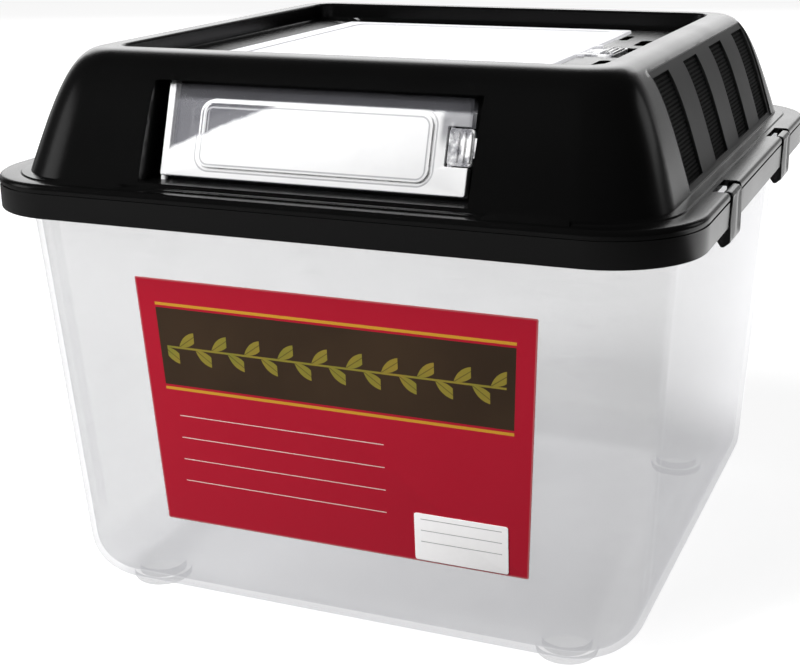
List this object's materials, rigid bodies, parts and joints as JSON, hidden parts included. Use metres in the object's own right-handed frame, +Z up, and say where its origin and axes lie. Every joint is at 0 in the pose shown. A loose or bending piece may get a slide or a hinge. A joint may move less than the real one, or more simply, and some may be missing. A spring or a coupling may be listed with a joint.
{
  "type": "plastic pet keeper",
  "caption": "Clear moulded pet keeper tank with a domed black vented lid, a clear door in the lid's top, a clear door in its front face and swing latches at its sides.",
  "frame": {"origin": "centre of the keeper's footprint, on the surface its feet stand on", "axes": "+Z up, +X to the right as seen from the labelled front, +Y to the back"},
  "size_m": [0.2412, 0.24, 0.1935],
  "materials": {
    "clear_tank": "clear glossy polystyrene",
    "black_lid": "satin gloss moulded black, matte vent stripes",
    "clear_door": "clear glossy polystyrene",
    "clear_catch": "clear glossy polystyrene",
    "black_latch": "satin gloss moulded black",
    "label_paper": null,
    "sticker_paper": "plain white paper sticker"
  },
  "bodies": {
    "tank_body": {"tank": "clear_tank", "front_label": "label_paper", "blank_sticker": "sticker_paper"},
    "lid_body": {"lid_shell": "black_lid"},
    "top_door_body": {"top_door": "clear_door"},
    "top_catch_body": {"top_door_catch": "clear_catch"},
    "front_door_body": {"front_door": "clear_door"},
    "front_catch_body": {"front_door_catch": "clear_catch"},
    "latch_right_front_body": {"latch_right_front": "black_latch"},
    "latch_right_rear_body": {"latch_right_rear": "black_latch"},
    "latch_left_front_body": {"latch_left_front": "black_latch"},
    "latch_left_rear_body": {"latch_left_rear": "black_latch"}
  },
  "joints": [
    {"name": "lid_lift", "type": "slide", "parent": "tank_body", "child": "lid_body", "axis": [0, 0, 1], "range_m": [0, 0.08]},
    {"name": "top_door_hinge", "type": "hinge", "parent": "lid_body", "child": "top_door_body", "pos_m": [-0.0622, 0, 0.1865], "axis": [0, -1, 0], "range_deg": [0, 100]},
    {"name": "top_catch_flex", "type": "hinge", "parent": "top_door_body", "child": "top_catch_body", "pos_m": [0.0581, 0, 0.1867], "axis": [0, 1, 0], "range_deg": [0, 8], "stiffness_Nm_per_rad": 0.2},
    {"name": "front_door_hinge", "type": "hinge", "parent": "lid_body", "child": "front_door_body", "pos_m": [-0.052, -0.09905, 0.17035], "axis": [0, -0.3338, -0.9426], "range_deg": [0, 100]},
    {"name": "front_catch_flex", "type": "hinge", "parent": "front_door_body", "child": "front_catch_body", "pos_m": [0.0443, -0.09933, 0.17045], "axis": [0, 0.3338, 0.9426], "range_deg": [0, 7], "stiffness_Nm_per_rad": 0.1},
    {"name": "latch_right_front_hinge", "type": "hinge", "parent": "lid_body", "child": "latch_right_front_body", "pos_m": [0.1179, -0.05, 0.1503], "axis": [0, -1, 0], "range_deg": [0, 35]},
    {"name": "latch_right_rear_hinge", "type": "hinge", "parent": "lid_body", "child": "latch_right_rear_body", "pos_m": [0.1179, 0.05, 0.1503], "axis": [0, -1, 0], "range_deg": [0, 35]},
    {"name": "latch_left_front_hinge", "type": "hinge", "parent": "lid_body", "child": "latch_left_front_body", "pos_m": [-0.1179, -0.05, 0.1503], "axis": [0, 1, 0], "range_deg": [0, 35]},
    {"name": "latch_left_rear_hinge", "type": "hinge", "parent": "lid_body", "child": "latch_left_rear_body", "pos_m": [-0.1179, 0.05, 0.1503], "axis": [0, 1, 0], "range_deg": [0, 35]}
  ]
}
